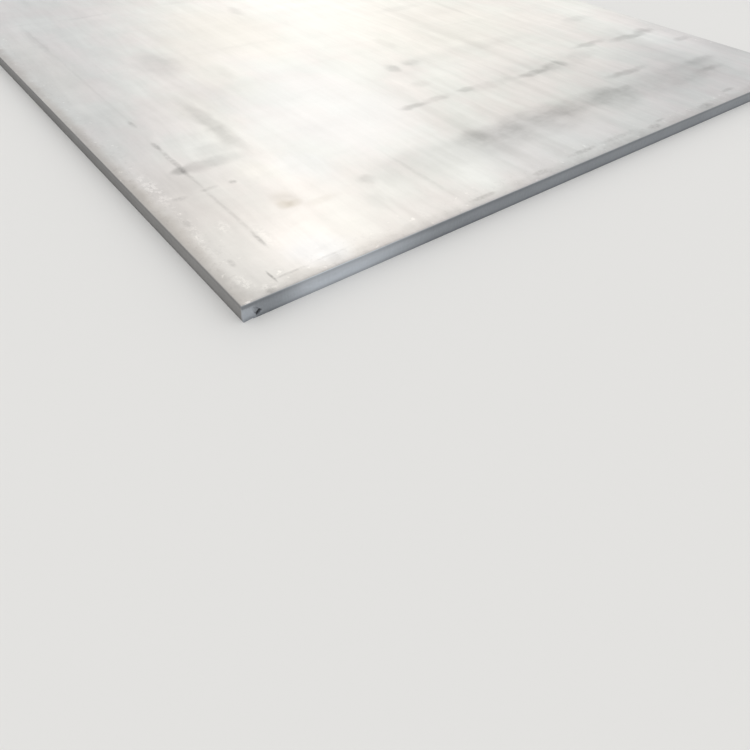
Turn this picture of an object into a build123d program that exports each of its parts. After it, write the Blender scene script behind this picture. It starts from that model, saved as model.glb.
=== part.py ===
from build123d import *
import math
import os

# A heavy steel plate of stock size, hot rolled and cut square on power shears along all four sides.
# X runs along the plate, Y across it and Z up from the face that it lies on. Lengths are in millimetres
# and angles in degrees. The origin is the middle of the underside.

# Stock size, over the widest points of the cut edges
length = 6000.0
width = 1500.0
thickness = 25.0

# Cross cuts at both ends. The blade rolls the top arris down and burnishes a band below it, and then
# the steel tears away and leans outwards to the bottom arris.
end_rollover = 1.8
end_land = 8.5
end_lean = 1.6
end_wander = 2.2
end_wave = 430.0

# Trimmed long edges: a straighter cut by rotary knives, with a taller burnished band
side_rollover = 1.2
side_land = 10.0
side_lean = 0.9
side_wander = 1.4
side_wave = 1150.0

# How far a torn face bows out between the break line and the bottom arris
tear_bow = 0.25

# Bruise on the end face beside one corner, with the nick where it stops. Distances along the end are
# from that corner, and heights are above the underside.
bruise_length = 19.0
bruise_height = 19.0
bruise_fall = 5.0
bruise_turn = 5.0
bruise_tip = 5.0
nick_centre = 22.6
nick_height = 6.0
nick_length = 8.6
nick_width = 3.2
nick_depth = 4.0
nick_angle = 35.0

# Shallow dish in the top face, where something heavy was dropped near the same corner
dish_from_end = 177.0
dish_from_side = 177.0
dish_diameter = 40.0
dish_depth = 0.4


def sheared_outline(span, rollover, lean):
    """Section across two opposite cuts, without the torn steel: the burnished bands stand plumb."""
    face = span / 2 - lean
    with BuildLine() as outline:
        Line((0, 0), (face, 0))
        Line((face, 0), (face, thickness - rollover))
        RadiusArc((face, thickness - rollover), (face - rollover, thickness), -rollover)
        Line((face - rollover, thickness), (0, thickness))
        mirror(about=Plane.YZ)
    return make_face(outline.line.edges())


def break_height(station, land, rollover, wander, wave):
    """Height at which the band ends and the tear starts. It strays a little along the cut."""
    turn = 2 * math.pi * station / wave
    stray = 0.65 * math.cos(turn) + 0.35 * math.sin(2.3 * turn)
    return thickness - rollover - land + wander * stray


def torn_steel(run, span, rollover, land, lean, wander, wave):
    """Wedge of torn steel along the cut at +X. It is as wide as the lean at the bottom arris."""
    foot = span / 2
    face = foot - lean
    root = face - lean
    stations = max(4, round(4 * run / wave))
    sections = []
    for count in range(stations + 1):
        place = run * (count / stations - 0.5)
        top = break_height(place, land, rollover, wander, wave)
        middle = (face + lean / 2 + tear_bow, top / 2)
        with BuildLine() as outline:
            Line((root, 0), (foot, 0))
            ThreePointArc((foot, 0), middle, (face, top))
            Line((face, top), (root, top))
            Line((root, top), (root, 0))
        sections.append(Plane.XZ.offset(-place) * make_face(outline.line.edges()))
    return loft(sections)


def cut_slab(run, span, rollover, land, lean, wander, wave):
    """Slab with a shear cut at each end of X, and square along Y."""
    slab = extrude(Plane.XZ * sheared_outline(span, rollover, lean), run / 2, both=True)
    torn = torn_steel(run, span, rollover, land, lean, wander, wave)
    return slab + torn + Rot(Z=180) * torn


def near_corner():
    """Frame at the bruised corner: X outwards along the plate, Y along the end, Z up."""
    return Pos(length / 2, -width / 2, 0)


def bruise():
    """Shallow flat that a blow left on the end face. It runs out at the corner's foot."""
    margin = thickness
    nick_dy = nick_length / 2 * math.cos(math.radians(nick_angle))
    nick_dz = nick_length / 2 * math.sin(math.radians(nick_angle))
    points = [
        (-margin, -margin),
        (-margin, bruise_height),
        (0, bruise_height),
        (bruise_length, bruise_height - bruise_fall),
        (nick_centre + nick_dy, nick_height + nick_dz),
        (nick_centre - nick_dy, nick_height - nick_dz),
        (bruise_length - bruise_fall / 2, -margin),
    ]
    reach = extrude(Plane.YZ * make_face(Polyline(*points, close=True)), margin, both=True)
    outside = Rot(Y=-bruise_tip) * Rot(Z=bruise_turn) * Pos(2 * margin, 0, 0) * Box(
        4 * margin, 8 * margin, 8 * margin
    )
    return near_corner() * (reach & outside)


def nick():
    """Narrow slanted notch at the inner end of the bruise."""
    slot = Box(2 * nick_depth, nick_length, nick_width)
    slot = fillet(slot.edges().filter_by(Axis.X), nick_width / 2.5)
    return near_corner() * Pos(-end_lean / 2, nick_centre, nick_height) * Rot(X=nick_angle) * slot


def dish():
    """Ball that presses the dish into the top face."""
    radius = (dish_diameter ** 2 / 4 + dish_depth ** 2) / (2 * dish_depth)
    place = Pos(length / 2 - dish_from_end, dish_from_side - width / 2, thickness + radius - dish_depth)
    return place * Sphere(radius)


def steel_plate():
    """The whole plate: where the lengthwise and crosswise slabs meet, less the marks of handling."""
    cross_cut = cut_slab(width, length, end_rollover, end_land, end_lean, end_wander, end_wave)
    trimmed = cut_slab(length, width, side_rollover, side_land, side_lean, side_wander, side_wave)
    plate = cross_cut & (Rot(Z=90) * trimmed)
    return plate - bruise() - nick() - dish()


os.makedirs("parts", exist_ok=True)
export_step(steel_plate().solid(), "parts/steel_plate.step")
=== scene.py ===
import bmesh
import bpy
import math
from mathutils import Matrix, Vector, noise


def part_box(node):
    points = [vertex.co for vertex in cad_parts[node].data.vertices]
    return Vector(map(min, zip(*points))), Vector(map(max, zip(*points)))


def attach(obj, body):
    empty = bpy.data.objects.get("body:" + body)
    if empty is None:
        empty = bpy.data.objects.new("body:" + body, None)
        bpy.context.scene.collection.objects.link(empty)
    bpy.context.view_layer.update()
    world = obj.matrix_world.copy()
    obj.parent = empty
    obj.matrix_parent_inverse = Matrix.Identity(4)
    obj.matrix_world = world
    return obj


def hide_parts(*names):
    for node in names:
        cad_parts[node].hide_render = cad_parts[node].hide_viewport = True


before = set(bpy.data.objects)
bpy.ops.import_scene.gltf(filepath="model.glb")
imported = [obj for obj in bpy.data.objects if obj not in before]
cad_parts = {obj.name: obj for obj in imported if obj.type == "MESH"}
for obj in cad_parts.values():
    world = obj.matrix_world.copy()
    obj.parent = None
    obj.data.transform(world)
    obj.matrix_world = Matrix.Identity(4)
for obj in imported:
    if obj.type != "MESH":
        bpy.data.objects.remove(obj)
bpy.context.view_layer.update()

# Steel plate
# One slab of hot-rolled carbon steel with the blue-grey mill scale of the rolls still on its two faces.
# It is cut to size on power shears, so each edge has a rolled-down arris, a burnished band and, below
# the line where the cut broke away, a torn face that leans out.

half_length, half_width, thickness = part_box("steel_plate")[1]
tiny = 1e-6

end_cut = {"rollover": 0.0018, "land": 0.0085, "lean": 0.0016, "wander": 0.0022, "wave": 0.430}
side_cut = {"rollover": 0.0012, "land": 0.0100, "lean": 0.0009, "wander": 0.0014, "wave": 1.150}
tear_bow = 0.00025
tear_rough = 0.0004
tear_spacing = 0.0061
land_rough = 0.0001
score_spacing = 0.0034
chip_depth = 0.0008
chip_spacing = 0.011
mitre_reach = 0.015

cell = 0.025
rim_band = 0.008
end_columns = 11
near_columns = 7
far_columns = 1
near_reach = 1.5
cut_rows = [("torn", share) for share in (0, 0.06, 0.2, 0.4, 0.6, 0.8, 0.95)]
cut_rows += [("land", share) for share in (0, 0.5, 1)]
cut_rows += [("arris", turn) for turn in (25, 50, 72, 90)]

dish_from_end = 0.177
dish_from_side = 0.177
dish_radius = 0.020
dish_depth = 0.0004
dish_lip = 1.25
dish_cuts = 7

bruise_length = 0.019
bruise_height = 0.019
bruise_fall = 0.005
bruise_run_out = 0.8
bruise_slope = math.tan(math.radians(5))
bruise_fade = 0.007
nick_centre = 0.0226
nick_height = 0.006
nick_length = 0.0086
nick_width = 0.0032
nick_depth = 0.004
nick_angle = math.radians(35)
nick_lip = 0.001
corner_patch = 0.036
corner_cuts = 2

slack_depth = 0.0003
slack_fade = 0.08
sharp_angle = math.radians(28)

# Slack waves: how many to the metre along and across, seed, and share
slack_waves = ((1.7, 2.6, 4.2, 1.0), (5.1, 4.3, 8.8, 0.3))


def eased(share):
    share = max(0.0, min(1.0, share))
    return share * share * (3 - 2 * share)


def rumple(place, scale, seed):
    """Smooth noise between -1 and 1 along a line."""
    return noise.noise(Vector((place / scale, seed, 0.5)))


def break_height(cut, station):
    """Height of the line where the burnished band ends and the tear begins."""
    turn = 2 * math.pi * station / cut["wave"]
    stray = 0.65 * math.cos(turn) + 0.35 * math.sin(2.3 * turn)
    return thickness - cut["rollover"] - cut["land"] + cut["wander"] * stray


def cut_row(cut, station, number):
    """(how far back from the bottom arris, height) of one row of points down a cut edge."""
    part, share = cut_rows[number]
    edge = break_height(cut, station)
    shoulder = thickness - cut["rollover"]
    if part == "torn":
        rough = tear_rough * abs(rumple(station, tear_spacing, 3 * share)) * min(1, 6 * share)
        bow = 4 * tear_bow * share * (1 - share)
        return cut["lean"] * share - bow + rough, edge * share
    if part == "land":
        score = land_rough * abs(rumple(station, score_spacing, 11.3))
        return cut["lean"] + score, edge + (shoulder - edge) * share
    turn = math.radians(share)
    chip = chip_depth * max(0, rumple(station, chip_spacing, 20.1) - 0.3) * math.sin(turn)
    back = cut["lean"] + cut["rollover"] * (1 - math.cos(turn)) + chip
    return back, shoulder + cut["rollover"] * math.sin(turn)


def cut_point(cut, station, level):
    """The same at any level between two rows."""
    lower = min(int(level + tiny), len(cut_rows) - 2)
    near, far = cut_row(cut, station, lower), cut_row(cut, station, lower + 1)
    share = level - lower
    return [a + (b - a) * share for a, b in zip(near, far)]


def bruise_and_nick(across, height, x):
    """Carries a point of the near end back to the bruise and the nick beside the near corner."""
    cos, sin = math.cos(nick_angle), math.sin(nick_angle)
    along = (across - nick_centre) * cos + (height - nick_height) * sin
    over = (height - nick_height) * cos - (across - nick_centre) * sin
    top = bruise_height - bruise_fall * across / bruise_length
    if across > bruise_length:
        top = bruise_height - bruise_fall - (across - bruise_length) * bruise_run_out
    foot = bruise_length if along < -nick_length / 2 else nick_centre + nick_length / 2
    if height < top and over > 0 and across < foot:
        fade = eased((foot - across) / bruise_fade) if along < -nick_length / 2 else 1
        x = min(x, half_length - (across + height) * bruise_slope * fade)
    inside = eased((nick_length / 2 - abs(along)) / nick_lip)
    inside *= eased((nick_width / 2 - abs(over)) / nick_lip)
    return x - nick_depth * inside


def from_dish(x, y):
    """Distance of a place on the top face from the middle of the dish."""
    return math.hypot(half_length - dish_from_end - x, dish_from_side - half_width - y)


def rolled_dip(x, y):
    """How far the rolled top lies below its highest level: slack waves, and the dish near one corner."""
    inside = min(half_length - abs(x), half_width - abs(y))
    slack = 0.0
    for along, across, seed, share in slack_waves:
        slack += share * (0.5 + 0.5 * noise.noise(Vector((x * along, y * across, seed))))
    dip = slack_depth * slack * eased(inside / slack_fade)
    return dip + dish_depth * eased(dish_lip - dish_lip * (from_dish(x, y) / dish_radius))


plate = bmesh.new()
inner_length, inner_width = half_length - rim_band, half_width - rim_band
bmesh.ops.create_grid(
    plate,
    x_segments=round(2 * inner_length / cell),
    y_segments=round(2 * inner_width / cell),
    size=1,
)
bmesh.ops.scale(plate, vec=(inner_length, inner_width, 1), verts=plate.verts)
bmesh.ops.translate(plate, vec=(0, 0, thickness), verts=plate.verts)

# More columns down the cuts where the eye comes near: the near end, and the long edge beside it
near_limit = half_length - near_reach
sides = (
    (lambda co: co.x > inner_length - tiny, end_columns),
    (lambda co: co.y < tiny - inner_width and co.x > near_limit, near_columns),
    (lambda co: co.y < tiny - inner_width and co.x < near_limit + cell, far_columns),
    (lambda co: co.y > inner_width - tiny, far_columns),
    (lambda co: co.x < tiny - inner_length, far_columns),
)
for holds, columns in sides:
    edges = [edge for edge in plate.edges if edge.is_boundary and all(holds(v.co) for v in edge.verts)]
    bmesh.ops.subdivide_edges(plate, edges=edges, cuts=columns)
rim = bmesh.ops.extrude_edge_only(plate, edges=[edge for edge in plate.edges if edge.is_boundary])
bmesh.ops.scale(
    plate,
    vec=(half_length / inner_length, half_width / inner_width, 1),
    verts=[part for part in rim["geom"] if isinstance(part, bmesh.types.BMVert)],
)
bmesh.ops.recalc_face_normals(plate, faces=plate.faces[:])
bmesh.ops.solidify(plate, geom=plate.faces[:], thickness=thickness)

last_row = len(cut_rows) - 1
for number in range(1, last_row):
    bmesh.ops.bisect_plane(
        plate,
        geom=plate.verts[:] + plate.edges[:] + plate.faces[:],
        dist=tiny,
        plane_co=(0, 0, thickness * number / last_row),
        plane_no=(0, 0, 1),
    )


def finer(holds, cuts):
    """Divides the faces whose middle lies in a region."""
    faces = [face for face in plate.faces if holds(face.calc_center_median())]
    edges = list(dict.fromkeys(edge for face in faces for edge in face.edges))
    bmesh.ops.subdivide_edges(plate, edges=edges, cuts=cuts, use_grid_fill=True)


def round_dish(co):
    return co.z > thickness - tiny and from_dish(co.x, co.y) < dish_radius + cell / 2


def beside_nick(co):
    return co.x > half_length - tiny and co.y < corner_patch - half_width


finer(round_dish, dish_cuts)
finer(beside_nick, corner_cuts)

# Every point then goes from its place on the plain slab to its place on the rolled face or the cut
for v in plate.verts:
    x, y, z = v.co
    on_end = abs(x) > half_length - tiny
    on_side = abs(y) > half_width - tiny
    if not on_end and not on_side:
        v.co.z = z - rolled_dip(x, y) if z > thickness / 2 else 0
        continue
    level = z / thickness * last_row
    end_back, end_height = cut_point(end_cut, y, level)
    side_back, side_height = cut_point(side_cut, x, level)
    if on_end:
        near_corner = eased(1 - (half_width - abs(y)) / mitre_reach)
        v.co.x = math.copysign(half_length - end_back, x)
        v.co.y = y * (1 - cut_point(side_cut, x, level)[0] / half_width)
        v.co.z = end_height + (side_height - end_height) * near_corner / 2
    if on_side:
        near_corner = eased(1 - (half_length - abs(x)) / mitre_reach)
        v.co.y = math.copysign(half_width - side_back, y)
        v.co.x = x * (1 - cut_point(end_cut, y, level)[0] / half_length)
        v.co.z = side_height + (end_height - side_height) * near_corner / 2
    if x > half_length - tiny and y < corner_patch - half_width:
        v.co.x = bruise_and_nick(v.co.y + half_width, v.co.z, v.co.x)

plate.normal_update()
for face in plate.faces:
    upright = abs(face.normal.z) < 0.5
    on_cut = tiny < face.calc_center_median().z < thickness - 2 * end_cut["rollover"]
    face.smooth = True
    face.material_index = int(upright or on_cut)
mesh = bpy.data.meshes.new("rolled_steel_plate")
plate.to_mesh(mesh)
plate.free()
mesh.set_sharp_from_angle(angle=sharp_angle)


class Wire:
    """An output socket of a shader. Sums on it add Math nodes, and node() adds any other node."""

    def __init__(self, socket):
        self.socket = socket

    def node(self, kind, settings, inputs, output=0):
        """A new node of the same shader: its settings are set first, and then its sockets are filled."""
        made = self.socket.id_data.nodes.new(kind)
        for name, value in settings.items():
            setattr(made, name, value)
        fill(made, inputs)
        return Wire(made.outputs[output])

    def maths(self, operation, *values):
        return self.node("ShaderNodeMath", {"operation": operation}, dict(enumerate(values)))

    def __add__(self, other):
        return self.maths("ADD", self, other)

    __radd__ = __add__

    def __mul__(self, other):
        return self.maths("MULTIPLY", self, other)

    __rmul__ = __mul__

    def __sub__(self, other):
        return self.maths("SUBTRACT", self, other)

    def __rsub__(self, other):
        return self.maths("SUBTRACT", other, self)

    def __truediv__(self, other):
        return self.maths("DIVIDE", self, other)

    def __rtruediv__(self, other):
        return self.maths("DIVIDE", other, self)

    def __abs__(self):
        return self.maths("ABSOLUTE", self)

    def larger(self, other):
        return self.maths("MAXIMUM", self, other)

    def step(self, start, end, low=0.0, high=1.0):
        """Low before start and high after end, with an eased change between them."""
        inputs = {"Value": self, "From Min": start, "From Max": end, "To Min": low, "To Max": high}
        return self.node("ShaderNodeMapRange", {"interpolation_type": "SMOOTHSTEP"}, inputs)

    def vector(self, operation, *values, output=0):
        inputs = dict(enumerate(values))
        return self.node("ShaderNodeVectorMath", {"operation": operation}, inputs, output)

    def axes(self):
        """The three parts of a place."""
        return [self.node("ShaderNodeSeparateXYZ", {}, {0: self}, number) for number in range(3)]

    def noise(self, x, y, z, detail=3.0, roughness=0.55):
        """Noise of a place, with so many lumps to the metre along each axis. Its mean is 0.5."""
        inputs = {"Vector": self.vector("MULTIPLY", self, (x, y, z)), "Scale": 1.0}
        return self.node("ShaderNodeTexNoise", {}, inputs | {"Detail": detail, "Roughness": roughness})

    def shaken(self, lumps, amount):
        """A place carried off a little, so that what is laid out on it gets ragged edges."""
        inputs = {"Vector": self, "Scale": lumps, "Detail": 3.0}
        colour = self.node("ShaderNodeTexNoise", {}, inputs, 1)
        aside = self.vector("SUBTRACT", colour, (0.5, 0.5, 0.5))
        return self.vector("MULTIPLY_ADD", aside, (amount, amount, amount), self)

    def mix(self, first, second):
        """The first colour where this mask is 0, and the second where it is 1."""
        settings = {"data_type": "RGBA", "clamp_factor": True}
        return self.node("ShaderNodeMix", settings, {0: self, 6: first, 7: second}, 2)

    def grey(self):
        """A colour from one value."""
        return self.node("ShaderNodeCombineColor", {}, {0: self, 1: self, 2: self})


def fill(node, inputs):
    """Gives sockets of a node their values or links."""
    for name, value in inputs.items():
        if isinstance(value, Wire):
            value.socket.id_data.links.new(value.socket, node.inputs[name])
        else:
            node.inputs[name].default_value = value


def new_material(name):
    """(material, its Principled node, the place of a point on the object)."""
    material = bpy.data.materials.new(name)
    material.use_nodes = True
    surface = material.node_tree.nodes["Principled BSDF"]
    place = Wire(material.node_tree.nodes.new("ShaderNodeTexCoord").outputs["Object"])
    return material, surface, place


def spots(place, marks):
    """Soft-edged marks. Each is laid out by its distance from the near end and from the near long edge,
    half its size along and across the plate, and its strength."""
    total = 0.0
    for end, side, along, across, strength in marks:
        scale = (1 / along, 1 / across, 0)
        shift = ((end - half_length) / along, (half_width - side) / across, 0)
        offset = place.vector("MULTIPLY_ADD", place, scale, shift)
        reach = place.vector("LENGTH", offset, output=1)
        total = reach.step(0.3, 1.15, strength, 0.0) + total
    return total


# Dark smears across the plate
smears = (
    (0.170, 0.780, 0.042, 0.290, 0.32),
    (0.182, 0.572, 0.020, 0.055, 0.14),
    (0.145, 0.590, 0.062, 0.080, 0.38),
    (0.155, 0.730, 0.066, 0.130, 0.42),
    (0.160, 0.850, 0.040, 0.080, 0.14),
    (0.148, 0.955, 0.060, 0.085, 0.48),
    (0.165, 1.010, 0.016, 0.035, 0.30),
    (0.158, 0.440, 0.055, 0.170, 0.26),
    (0.142, 1.190, 0.062, 0.200, 0.46),
    (0.172, 1.330, 0.022, 0.075, 0.42),
    (0.128, 1.300, 0.014, 0.060, 0.38),
    (0.338, 0.570, 0.013, 0.038, 0.60),
    (0.341, 0.635, 0.013, 0.045, 0.42),
    (0.344, 0.715, 0.012, 0.028, 0.45),
    (0.336, 0.780, 0.018, 0.100, 0.22),
    (0.332, 0.915, 0.016, 0.060, 0.55),
    (0.338, 0.985, 0.022, 0.045, 0.40),
    (0.342, 1.018, 0.024, 0.013, 0.60),
    (0.220, 1.110, 0.014, 0.085, 0.60),
    (0.392, 1.190, 0.015, 0.075, 0.50),
    (0.374, 1.350, 0.017, 0.110, 0.75),
    (0.386, 1.415, 0.018, 0.040, 0.62),
    (0.352, 1.110, 0.030, 0.075, 0.20),
    (0.350, 0.990, 0.055, 0.170, 0.15),
    (0.516, 0.664, 0.030, 0.018, 0.50),
    (0.522, 0.724, 0.024, 0.028, 0.40),
    (0.415, 0.660, 0.020, 0.026, 0.20),
    (0.515, 0.690, 0.075, 0.110, 0.16),
    (0.525, 0.900, 0.035, 0.230, 0.20),
    (0.345, 0.860, 0.075, 0.320, 0.17),
    (0.545, 1.340, 0.024, 0.065, 0.30),
    (0.291, 1.448, 0.015, 0.040, 0.62),
    (0.344, 0.088, 0.015, 0.022, 0.60),
    (0.345, 0.140, 0.022, 0.065, 0.50),
    (0.385, 0.165, 0.032, 0.040, 0.24),
    (0.530, 1.130, 0.170, 0.120, 0.10),
    (0.470, 0.209, 0.145, 0.022, 0.56),
    (0.100, 0.285, 0.045, 0.016, 0.24),
    (0.162, 0.315, 0.020, 0.020, 0.42),
    (0.800, 0.255, 0.095, 0.052, 0.36),
    (0.690, 0.345, 0.060, 0.022, 0.20),
    (0.780, 0.540, 0.320, 0.240, 0.08),
    (0.028, 0.020, 0.030, 0.014, 0.20),
    (0.680, 0.265, 0.240, 0.070, 0.14),
    (1.050, 0.580, 0.050, 0.020, 0.30),
    (0.650, 0.755, 0.050, 0.018, 0.28),
    (0.860, 0.975, 0.024, 0.080, 0.20),
    (1.060, 0.092, 0.130, 0.010, 0.25),
)

# Strips that the rolls left duller along the plate, with crisp long sides. The one brighter strip, with
# a negative strength, is a painted highlight where the glare's tail lies by the near end. Each has where
# it starts and stops from the near end and from the near long edge.
strips_and_highlight = (
    (-0.10, 0.20, 0.520, 2.000, 0.050),
    (-0.10, 0.36, 0.560, 2.000, 0.026),
    (-0.10, 0.62, 0.912, 1.030, 0.022),
    (-0.10, 0.40, 1.012, 1.110, 0.012),
    (0.02, 0.34, 0.636, 0.676, 0.030),
    (0.05, 0.42, 0.566, 0.590, 0.035),
    (-0.10, 0.30, 0.828, 0.850, 0.018),
    (0.45, 1.30, 0.836, 0.850, 0.025),
    (0.45, 1.60, 0.925, 0.945, 0.020),
    (0.26, 0.40, -0.10, 0.086, 0.035),
    (0.01, 0.10, 0.092, 0.240, -0.035),
)

# In the dish: a tan stain with a faint run from it, and painted shade, darkest on the side towards the
# corner
dish_stain_and_shade = (
    (0.182, 0.176, 0.030, 0.024, 0.09),
    (0.168, 0.168, 0.016, 0.015, 0.13),
    (0.165, 0.182, 0.012, 0.017, 0.10),
    (0.150, 0.220, 0.011, 0.036, 0.05),
)

# Cleaner patches, where the scale has been rubbed bright. The bright patches near the corner, where the
# glare's tail lies, are painted highlight.
cleaned_and_glare = (
    (0.070, 0.475, 0.045, 0.055, 0.50),
    (0.070, 0.780, 0.045, 0.050, 0.25),
    (0.070, 0.995, 0.060, 0.020, 0.40),
    (0.270, 0.640, 0.060, 0.030, 0.30),
    (0.270, 0.420, 0.080, 0.160, 0.40),
    (0.450, 0.720, 0.050, 0.025, 0.25),
    (0.075, 0.125, 0.070, 0.060, 0.50),
    (0.110, 0.210, 0.130, 0.110, 0.30),
    (0.024, 0.135, 0.024, 0.050, 0.60),
    (0.155, 0.052, 0.060, 0.026, 0.30),
    (0.250, 0.215, 0.080, 0.060, 0.50),
    (0.420, 1.440, 0.420, 0.110, 0.70),
    (0.280, 1.390, 0.200, 0.090, 0.55),
    (0.060, 0.950, 0.080, 0.200, 0.45),
)

# Broad patches of painted glare wash: under the glare the grain is painted fainter and the scale a shade
# darker
glare_patches = (
    (0.420, 0.410, 0.330, 0.200, 1.0),
    (0.780, 0.560, 0.360, 0.240, 0.8),
    (0.150, 0.200, 0.130, 0.110, 0.8),
)

# Patches where the scale looks a shade warmer, or bluer where the strength is negative. The bluer
# patches at the middle of the glare and at its tail by the near corner are painted, to cool its
# highlight.
casts = (
    (0.440, 0.430, 0.300, 0.190, -0.5),
    (0.045, 0.142, 0.060, 0.046, -0.5),
    (0.250, 0.260, 0.080, 0.055, -0.4),
    (0.100, 0.650, 0.130, 0.220, -0.5),
    (0.070, 0.048, 0.130, 0.044, 0.8),
    (0.290, 0.180, 0.060, 0.040, 0.7),
    (0.930, 0.470, 0.260, 0.160, 0.9),
    (0.700, 0.950, 0.300, 0.350, 0.6),
    (0.750, 0.330, 0.250, 0.060, 0.6),
    (0.480, 0.215, 0.160, 0.060, 0.5),
    (0.900, 0.050, 0.300, 0.060, 0.5),
)

# Bright flakes, where the scale chipped off along the edges and at the corner
flaky = (
    (0.315, 0.030, 0.070, 0.014, 1.0),
    (0.200, 0.030, 0.060, 0.010, 0.6),
    (0.140, 0.023, 0.045, 0.008, 0.5),
    (0.037, 0.027, 0.022, 0.010, 0.8),
    (0.014, 0.048, 0.010, 0.014, 0.8),
    (0.165, 0.066, 0.020, 0.012, 0.6),
    (0.118, 0.102, 0.040, 0.010, 0.4),
    (0.0015, 0.010, 0.0030, 0.009, 2.5),
)

# Scratches and narrow bands along the plate, and the dark flecks along the end
scratches = (
    (0.200, 0.092, 0.130, 0.0040, 0.28),
    (0.370, 0.093, 0.085, 0.0060, 0.50),
    (0.545, 0.094, 0.020, 0.0060, 0.45),
    (0.445, 0.093, 0.020, 0.0060, 0.55),
    (0.850, 0.095, 0.450, 0.0035, 0.12),
    (0.110, 0.091, 0.025, 0.0040, 0.50),
    (0.030, 0.060, 0.016, 0.0025, 0.90),
    (0.024, 0.085, 0.0030, 0.030, 0.38),
    (0.026, 0.150, 0.0030, 0.035, 0.22),
    (0.084, 0.034, 0.012, 0.0060, 0.35),
    (0.007, 0.045, 0.006, 0.0080, 0.50),
    (0.201, 0.029, 0.014, 0.0060, 0.40),
    (0.130, 0.395, 0.120, 0.0060, 0.20),
    (0.620, 0.930, 0.350, 0.0180, 0.10),
    (0.480, 1.012, 0.470, 0.0090, 0.12),
    (0.790, 1.102, 0.090, 0.0120, 0.18),
    (0.268, 0.050, 0.008, 0.014, 0.38),
    (0.272, 0.100, 0.007, 0.018, 0.30),
    (0.270, 0.139, 0.008, 0.007, 0.60),
    (0.017, 0.430, 0.0060, 0.032, 0.45),
    (0.018, 0.565, 0.0080, 0.018, 0.45),
    (0.028, 0.690, 0.0070, 0.045, 0.48),
    (0.028, 0.790, 0.0080, 0.065, 0.26),
    (0.016, 0.895, 0.0100, 0.020, 0.50),
    (0.027, 0.930, 0.0050, 0.022, 0.35),
    (0.014, 1.080, 0.0130, 0.028, 0.36),
    (0.035, 1.205, 0.0070, 0.028, 0.40),
)

# How far a strip takes to come up at its start, to fade out at its end, and to come up at its sides
strip_start = 0.04
strip_stop = 0.20
strip_side = 0.012


def bands_along(place, marks):
    """Strips with crisp sides along the plate and ends that fade."""
    x, y = place.axes()[:2]
    from_end, from_side = half_length - x, y + half_width
    total = 0.0
    for start, stop, near, far, strength in marks:
        begun = from_end.step(start, start + strip_start)
        ended = from_end.step(stop, stop + strip_stop, 1.0, 0.0)
        sides = from_side.step(near, near + strip_side) * from_side.step(far, far + strip_side, 1.0, 0.0)
        total = begun * ended * sides * strength + total
    return total


# The scale is pale and silvery, and a shade greener or pinker from patch to patch. A tan film lies at
# the near corner and along the near rims. Past the marked stretch there are only streaks and wipes.
scale_tone = 0.63
green_tint = (0.985, 1.0, 0.990, 1)
pink_tint = (1.015, 0.985, 0.982, 1)
film_tint = (1.025, 0.975, 0.925, 1)
warm_tint = (1.015, 0.99, 0.955, 1)
blue_tint = (0.98, 1.0, 1.035, 1)
stain_tint = (1.03, 0.965, 0.885, 1)
marked_stretch = (0.9, 1.8)
edge_fade = (0.03, 0.06)


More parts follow.
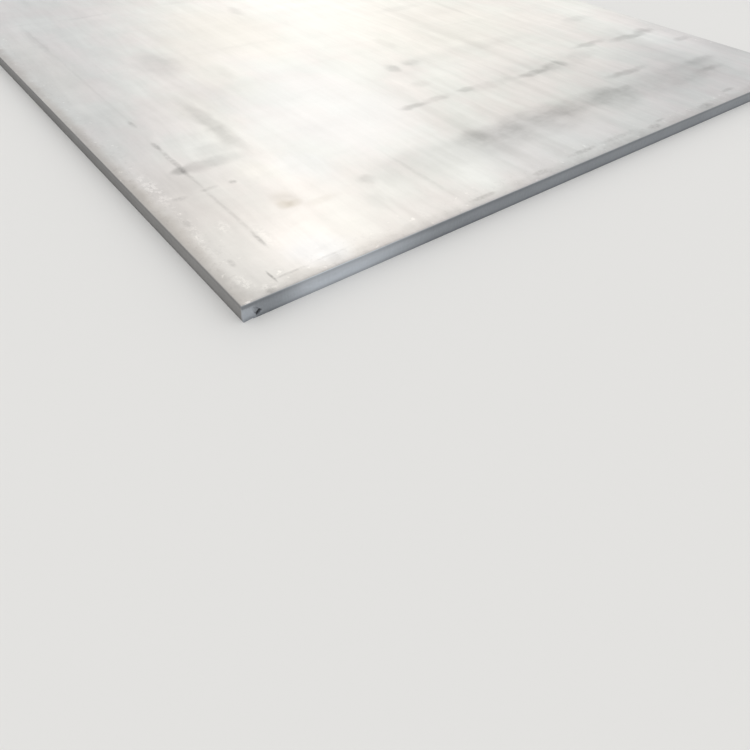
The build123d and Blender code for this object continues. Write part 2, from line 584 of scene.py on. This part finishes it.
def mill_scale():
    """The rolled faces: silvery scale with a soft sheen, streaked along the rolling."""
    material, surface, place = new_material("mill_scale")
    x, y = place.axes()[:2]
    to_end, to_side = half_length - abs(x), half_width - abs(y)
    beyond = (half_length - x).step(*marked_stretch)
    edge = to_end.step(*edge_fade, 1.0, 0.0).larger(to_side.step(*edge_fade, 1.0, 0.0))

    mottle = place.noise(9, 9, 9, 5.0, 0.6)
    blotch = place.noise(24, 13, 1, 4.0, 0.6)
    flecks = place.noise(140, 140, 140, 3.0, 0.6)
    broad = place.noise(0.5, 9, 1, 3.0)
    streaks = place.noise(1.3, 28, 1, 4.0, 0.6)
    strokes = place.shaken(6, 0.03).noise(8, 48, 1, 4.0, 0.6)
    lines = place.noise(2.2, 170, 1, 2.0)
    bands = place.noise(7, 0.9, 1, 4.0)
    wipes = place.shaken(3, 0.10).noise(24, 2.2, 1, 3.0)
    hauled = place.shaken(1.4, 0.30).noise(3.6, 0.9, 1, 5.0, 0.6).step(0.52, 0.72) * beyond

    ragged = (place.noise(34, 26, 1, 4.0, 0.65) - 0.5) * 0.045
    near_side = y.step(0.0, 0.4, 1.0, 0.0)
    end_rim = (to_end + ragged).step(0.004, 0.028, 0.12, 0.0)
    side_rim = (to_side + ragged * 0.6).step(0.003, 0.026, 0.20, 0.0) * near_side
    rim = end_rim.larger(side_rim) + to_side.step(0.02, 0.07, 0.02, 0.0)

    drifted = place.shaken(7, 0.10)
    smeared = spots(place.shaken(30, 0.024), smears) * blotch.step(0.28, 0.72, 0.65, 1.2)
    # Rubbed bright patches, and painted highlight of the glare near the corner
    rubbed_and_glare = spots(place.shaken(30, 0.028), cleaned_and_glare)
    # The tan stain in the dish, with painted shade on its side towards the corner
    stain_and_shade = spots(place.shaken(60, 0.006), dish_stain_and_shade)
    # Painted glare wash: fainter grain and a shade darker scale where the glare lies
    glare_wash = spots(drifted, glare_patches)
    # Duller strips, and a painted highlight strip by the near end
    dulled_and_highlit = bands_along(place.shaken(8, 0.012), strips_and_highlight) * blotch.step(0.25, 0.75, 0.6, 1.3)
    scratched = spots(place.shaken(30, 0.006), scratches) * flecks.step(0.3, 0.6, 0.35, 1.15)
    wiped = wipes.step(0.58, 0.76) * broad.step(0.35, 0.6) * (beyond * 0.6 + 0.12)
    chips = flecks.step(0.56, 0.66) * edge
    flaked = spots(place.shaken(90, 0.006), flaky)
    bare = place.noise(85, 85, 85).step(0.64, 0.72) * edge + flecks.step(0.46, 0.56) * flaked

    tone = scale_tone + (broad - 0.5) * 0.10 + (streaks - 0.5) * 0.12 + (lines - 0.5) * 0.015
    tone = tone + (bands - 0.5) * (0.16 - beyond * 0.12) + (mottle - 0.5) * 0.09 + (flecks - 0.5) * 0.03
    # The grain is painted fainter under the glare
    tone = tone + ((strokes - 0.5) * 0.14 + (blotch - 0.5) * 0.06) * (1 - glare_wash * 0.65)
    dark = smeared * 0.36 + scratched * 0.42 + stain_and_shade + dulled_and_highlit + wiped * 0.30 + rim + chips * 0.06
    # The scale is painted a shade darker under the glare
    dark = dark + glare_wash * 0.03 + hauled * 0.13
    tone = tone * (1 - dark) + bare * 0.11 + rubbed_and_glare * 0.09

    warmth = place.noise(6.5, 9, 6, 3.0).step(0.36, 0.64)
    tint = warmth.mix(green_tint, pink_tint)
    corner_reach = place.vector("DISTANCE", place, (half_length, -half_width, thickness), output=1)
    film = corner_reach.step(0.15, 0.50, 0.6, 0.0) + side_rim * 3.5 + end_rim
    tint = film.mix(tint, film_tint)
    cast = spots(drifted, casts)
    tint = cast.mix(tint, warm_tint)
    # Bluer casts, painted under the glare to cool its highlight
    tint = (cast * -1.0).mix(tint, blue_tint)
    tint = (stain_and_shade * 4.0).mix(tint, stain_tint)
    tint = place.vector("MULTIPLY", tone.grey(), tint)

    rough = 0.37 + (mottle - 0.5) * 0.12 + smeared * 0.05 + (streaks - 0.5) * 0.05 + rim * 0.4
    relief = flecks * 0.5 + mottle + lines * 0.3 - bare * 0.6
    bump = place.node("ShaderNodeBump", {}, {"Strength": 0.3, "Distance": 0.0004, "Height": relief})
    fill(surface, {"Base Color": tint, "Roughness": rough, "Metallic": 0.9, "Normal": bump})
    return material


# The end cut is bluer than the long edges
end_tint = (0.92, 0.98, 1.06, 1)
side_tint = (1.0, 0.985, 0.975, 1)


def sheared_steel():
    """The cut edges: bare grey steel, scored upright in the burnished band and grainy where it tore."""
    material, surface, place = new_material("sheared_steel")
    x, y, z = place.axes()
    height = z / thickness
    scores = place.noise(420, 420, 25, 3.0, 0.6)
    grains = place.noise(330, 330, 330, 4.0, 0.65)
    patches = place.noise(9, 9, 40, 4.0, 0.6)
    long_patches = place.noise(1.6, 1.6, 1, 2.0)

    burnished = height.step(0.50, 0.66)
    # Painted light down the cut: painted shade in a band below the arris, and a painted highlight along
    # the rolled arris. The cut is also darker towards the bottom, and a shade darker in the burnished
    # band.
    painted_light_and_burnish = 1 - height.step(0.66, 0.86) * 0.20 - height.step(0.0, 0.26, 0.28, 0.0) - burnished * 0.04
    painted_light_and_burnish = painted_light_and_burnish + height.step(0.87, 0.96, 0.0, 0.40)
    from_end = half_length - x
    across = y + half_width
    bright = across.step(0.035, 0.11) * across.step(0.17, 0.33, 1.0, 0.0)
    # Painted highlight on the bruise's facet beside the near corner, which faces a little upwards
    lit_bruise = across.step(0.013, 0.021, 1.0, 0.0) * height.step(0.66, 0.76, 1.0, 0.0)
    end_tone = 0.35 + bright * 0.27 + lit_bruise * 0.17 - across.step(0.2, 0.9) * 0.04
    side_tone = from_end.step(0.0, 0.7, 0.31, 0.21)
    on_end = abs(x).step(half_length - 0.006, half_length - 0.003)
    tone = side_tone + (end_tone - side_tone) * on_end
    tone = tone * painted_light_and_burnish * (1 + (patches - 0.5) * 0.28 + (long_patches - 0.5) * 0.25)
    tone = tone + (grains - 0.5) * 0.07 * (1 - burnished) + (scores - 0.5) * 0.05

    # Painted shade in the nick beside the near corner
    from_nick = place.vector("SUBTRACT", place, (half_length, nick_centre - half_width, nick_height))
    turn = {0: from_nick, "Angle": -nick_angle}
    turned = place.node("ShaderNodeVectorRotate", {"rotation_type": "X_AXIS"}, turn)
    scale = (0, 1.9 / nick_length, 2.2 / nick_width)
    reach = place.vector("LENGTH", place.vector("MULTIPLY", turned, scale), output=1)
    nick_shade = reach.step(0.8, 1.3, 1.0, 0.0)
    tone = tone * (1 - nick_shade * 0.40)

    tint = on_end.mix(side_tint, end_tint)
    tint = place.vector("MULTIPLY", tone.grey(), tint)
    rough = 0.48 - burnished * 0.10 + (grains - 0.5) * 0.12
    relief = grains * (1 - burnished) + scores * 0.4
    bump = place.node("ShaderNodeBump", {}, {"Strength": 0.4, "Distance": 0.0005, "Height": relief})
    fill(surface, {"Base Color": tint, "Roughness": rough, "Metallic": 0.85, "Normal": bump})
    return material


mesh.materials.append(mill_scale())
mesh.materials.append(sheared_steel())
piece = bpy.data.objects.new("rolled_steel_plate", mesh)
bpy.context.scene.collection.objects.link(piece)
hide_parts("steel_plate")
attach(piece, "root")

# Floor
# A wide, plain, pale studio floor, level with the underside of the plate. It isn't part of the object,
# and only catches the shadow.

floor_reach = 400.0
floor_colour = (0.78, 0.775, 0.76, 1)

floor_shape = bmesh.new()
bmesh.ops.create_grid(floor_shape, x_segments=1, y_segments=1, size=floor_reach)
floor_mesh = bpy.data.meshes.new("studio_floor")
floor_shape.to_mesh(floor_mesh)
floor_shape.free()
floor_material, floor_surface = new_material("pale_floor")[:2]
fill(floor_surface, {"Base Color": floor_colour, "Roughness": 0.9})
floor_mesh.materials.append(floor_material)
floor = bpy.data.objects.new("studio_floor", floor_mesh)
bpy.context.scene.collection.objects.link(floor)

# Light
# An even pale sky all round, and two soft oval lamps a long way beyond the far end: a wide warm glow low
# over the floor, and a whiter core above it. Together they lay the glare on the near end of the plate.

sky_colour = (1.0, 1.0, 1.0, 1)
sky_strength = 0.95
glow_turn = math.radians(141)
glow_rise = math.radians(17.5)
glow_sizes = (116.0, 81.0)
glow_power = 13300.0
glow_colour = (1.0, 0.93, 0.73)
core_turn = math.radians(147)
core_rise = math.radians(30)
core_sizes = (46.0, 100.0)
core_power = 5650.0
core_colour = (1.0, 0.975, 0.955)
lamp_reach = 150.0
aim_from_end = 0.45
aim_from_side = 0.4

world = bpy.data.worlds.new("studio_sky")
world.use_nodes = True
fill(world.node_tree.nodes["Background"], {"Color": sky_colour, "Strength": sky_strength})
bpy.context.scene.world = world


def soft_lamp(name, turn, rise, sizes, power, colour):
    """Oval lamp aimed at the near end, from a turn about Z and a rise above the floor."""
    data = bpy.data.lights.new(name, "AREA")
    data.shape = "ELLIPSE"
    data.size, data.size_y = sizes
    data.energy = power
    data.color = colour
    toward = Matrix.Rotation(turn, 3, "Z") @ Matrix.Rotation(-rise, 3, "Y") @ Vector((1, 0, 0))
    lamp = bpy.data.objects.new(name, data)
    aim = Vector((half_length - aim_from_end, aim_from_side - half_width, thickness))
    place = aim + toward * lamp_reach
    lamp.matrix_world = Matrix.Translation(place) @ toward.to_track_quat("Z", "Y").to_matrix().to_4x4()
    bpy.context.scene.collection.objects.link(lamp)


soft_lamp("wide_glow", glow_turn, glow_rise, glow_sizes, glow_power, glow_colour)
soft_lamp("glow_core", core_turn, core_rise, core_sizes, core_power, core_colour)

# Camera
# Held 0.7 m off the near corner, looking down along the plate and a little askew, as in the photo. The
# lens takes in about 65 degrees.

camera_offset = Vector((0.507, -0.225, 0.448))
camera_turn = math.radians(48.96)
camera_tilt = math.radians(43.92)
camera_roll = math.radians(3.42)
lens = 27.97
sensor = 36.0

camera_data = bpy.data.cameras.new("camera")
camera_data.lens = lens
camera_data.sensor_width = sensor
camera = bpy.data.objects.new("camera", camera_data)
corner = Vector((half_length, -half_width, thickness))
camera.matrix_world = (
    Matrix.Translation(corner + camera_offset)
    @ Matrix.Rotation(camera_turn, 4, "Z")
    @ Matrix.Rotation(camera_tilt, 4, "X")
    @ Matrix.Rotation(camera_roll, 4, "Z")
)
bpy.context.scene.collection.objects.link(camera)
bpy.context.scene.camera = camera
bpy.context.scene.view_settings.view_transform = "Standard"
